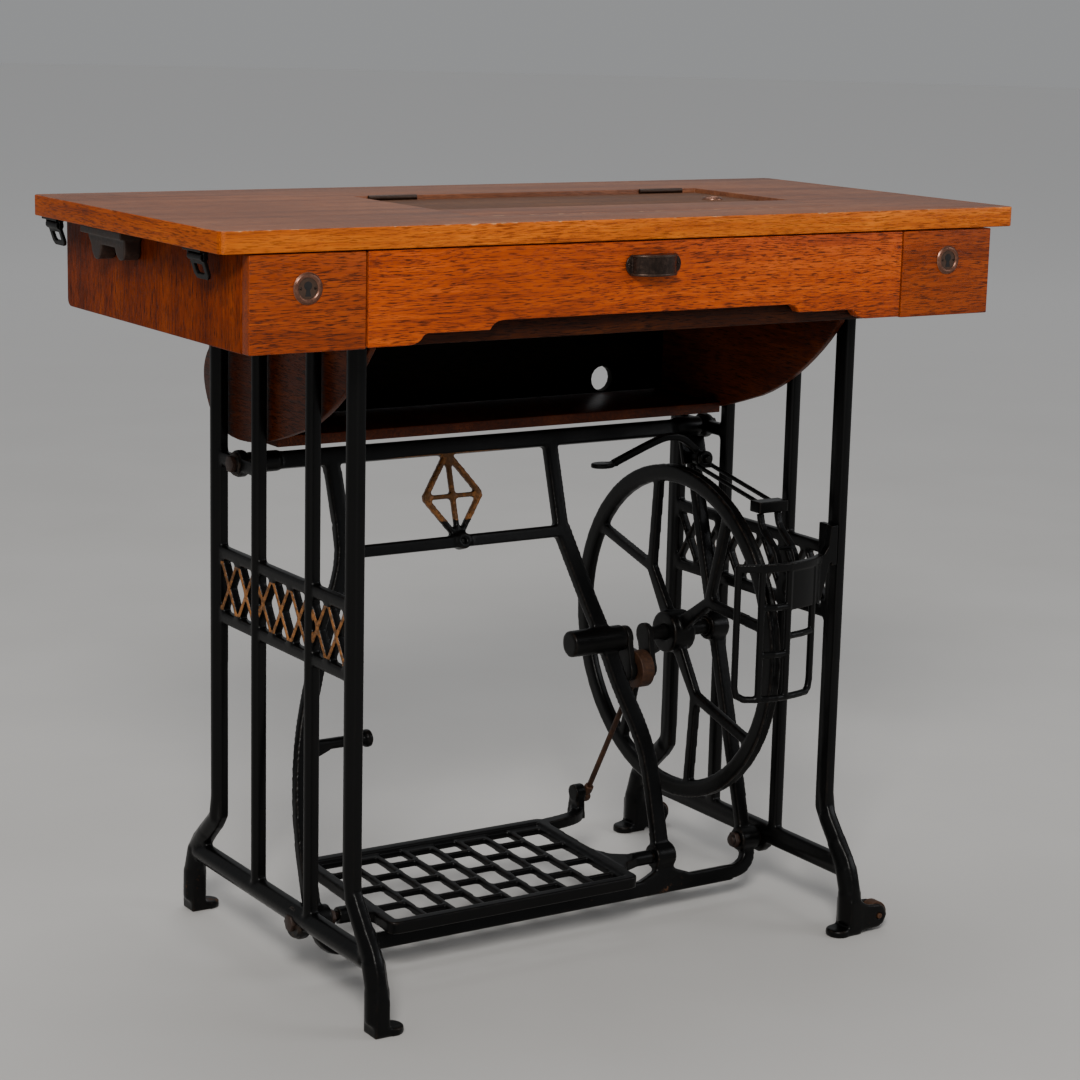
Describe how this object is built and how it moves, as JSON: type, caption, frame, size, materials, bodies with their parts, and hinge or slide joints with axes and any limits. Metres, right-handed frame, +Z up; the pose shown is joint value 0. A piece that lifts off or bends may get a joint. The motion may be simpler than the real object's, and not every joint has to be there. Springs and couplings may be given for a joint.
{
  "type": "treadle sewing table",
  "caption": "Wooden sewing table with drawers and a machine well on a cast-iron treadle stand with flywheel, brace and rocking foot plate.",
  "frame": {"origin": "floor level, under the middle of the table top", "axes": "+X along the table towards the flywheel end, +Y from front to back, +Z up"},
  "size_m": [0.912, 0.4423, 0.7706],
  "materials": {
    "slab_wood": "worn satin polish",
    "walnut": "oiled, warm",
    "inside_wood": "raw, dusty",
    "iron": "black japanned, worn edges",
    "rusty_iron": "browned with rust",
    "bronze": "dark patina"
  },
  "bodies": {
    "stand": {"table_top": "slab_wood", "left_side_panel": "walnut", "right_side_panel": "walnut", "back_panel": "walnut", "left_divider": "inside_wood", "right_divider": "inside_wood", "left_drawer_floor": "inside_wood", "right_drawer_floor": "inside_wood", "front_rail": "inside_wood", "well_left_end": "walnut", "well_right_end": "walnut", "well_back_board": "inside_wood", "well_bottom_board": "inside_wood", "left_side_frame": "iron", "right_side_frame": "iron", "centre_brace": "iron", "left_lug_bolt": "rusty_iron", "right_lug_bolt": "rusty_iron", "left_foot_bolt": "rusty_iron", "right_foot_bolt": "rusty_iron", "left_treadle_pivot": "rusty_iron", "right_treadle_pivot": "rusty_iron", "front_roller_pin": "rusty_iron", "rear_roller_pin": "rusty_iron", "crank_bearing": "iron", "wheel_bearing": "iron", "dress_guard": "iron", "shifter_bracket": "iron", "lift_handle": "rusty_iron", "front_hasp_bracket": "iron", "rear_hasp_bracket": "iron", "lid_hinge_left": "bronze", "lid_hinge_right": "bronze", "leaf_hinge": "bronze"},
    "lid": {"machine_lid": "slab_wood", "lid_key_plate": "bronze"},
    "leaf": {"front_leaf": "slab_wood"},
    "flap": {"centre_flap": "walnut", "flap_pull": "bronze"},
    "left_drawer": {"left_drawer_front": "walnut", "left_drawer_tray": "inside_wood", "left_key_plate": "bronze"},
    "right_drawer": {"right_drawer_front": "walnut", "right_drawer_tray": "inside_wood", "right_key_plate": "bronze"},
    "wheel": {"flywheel": "iron", "crankshaft": "iron"},
    "pitman": {"pitman_rod": "rusty_iron", "pitman_foot": "rusty_iron"},
    "treadle": {"treadle": "iron"},
    "shifter": {"shifter_lever": "iron", "shifter_yoke": "iron", "belt_block": "iron", "belt_fork": "iron"},
    "front_roller": {"front_roller": "rusty_iron"},
    "rear_roller": {"rear_roller": "rusty_iron"},
    "front_hasp": {"front_hasp": "iron"},
    "rear_hasp": {"rear_hasp": "iron"}
  },
  "joints": [
    {"name": "lid_open", "type": "hinge", "parent": "stand", "child": "lid", "pos_m": [0.058, 0.1012, 0.7682], "axis": [-1, 0, 0], "range_deg": [0, 175]},
    {"name": "leaf_drop", "type": "hinge", "parent": "stand", "child": "leaf", "pos_m": [0.058, -0.1436, 0.747], "axis": [-1, 0, 0], "range_deg": [0, 85]},
    {"name": "flap_tilt", "type": "hinge", "parent": "stand", "child": "flap", "pos_m": [0, -0.209, 0.6615], "axis": [1, 0, 0], "range_deg": [0, 70]},
    {"name": "left_drawer_slide", "type": "slide", "parent": "stand", "child": "left_drawer", "axis": [0, -1, 0], "range_m": [0, 0.26]},
    {"name": "right_drawer_slide", "type": "slide", "parent": "stand", "child": "right_drawer", "axis": [0, -1, 0], "range_m": [0, 0.26]},
    {"name": "flywheel_spin", "type": "hinge", "parent": "stand", "child": "wheel", "pos_m": [0.208, 0.0264, 0.29115], "axis": [1, 0, 0], "continuous": true},
    {"name": "pitman_swing", "type": "hinge", "parent": "wheel", "child": "pitman", "pos_m": [0.158, 0.01769, 0.25621], "axis": [1, 0, 0], "continuous": true},
    {"name": "treadle_rock", "type": "hinge", "parent": "stand", "child": "treadle", "pos_m": [-0.05, -0.0427, 0.06131], "axis": [1, 0, 0], "range_deg": [0, 24]},
    {"name": "shifter_tilt", "type": "hinge", "parent": "stand", "child": "shifter", "pos_m": [0.262, 0.06, 0.476], "axis": [0, -1, 0], "range_deg": [-4, 5]},
    {"name": "front_roller_spin", "type": "hinge", "parent": "stand", "child": "front_roller", "pos_m": [0.32, -0.203, 0.017], "axis": [0, 1, 0], "continuous": true},
    {"name": "rear_roller_spin", "type": "hinge", "parent": "stand", "child": "rear_roller", "pos_m": [0.32, 0.202, 0.017], "axis": [0, 1, 0], "continuous": true},
    {"name": "front_hasp_swing", "type": "hinge", "parent": "stand", "child": "front_hasp", "pos_m": [-0.445, -0.143, 0.742], "axis": [0, 1, 0], "range_deg": [-15, 95]},
    {"name": "rear_hasp_swing", "type": "hinge", "parent": "stand", "child": "rear_hasp", "pos_m": [-0.445, 0.184, 0.742], "axis": [0, 1, 0], "range_deg": [-15, 95]}
  ],
  "couplings": [
    {"joint": "pitman_swing", "follows": "flywheel_spin", "ratio": -1}
  ]
}
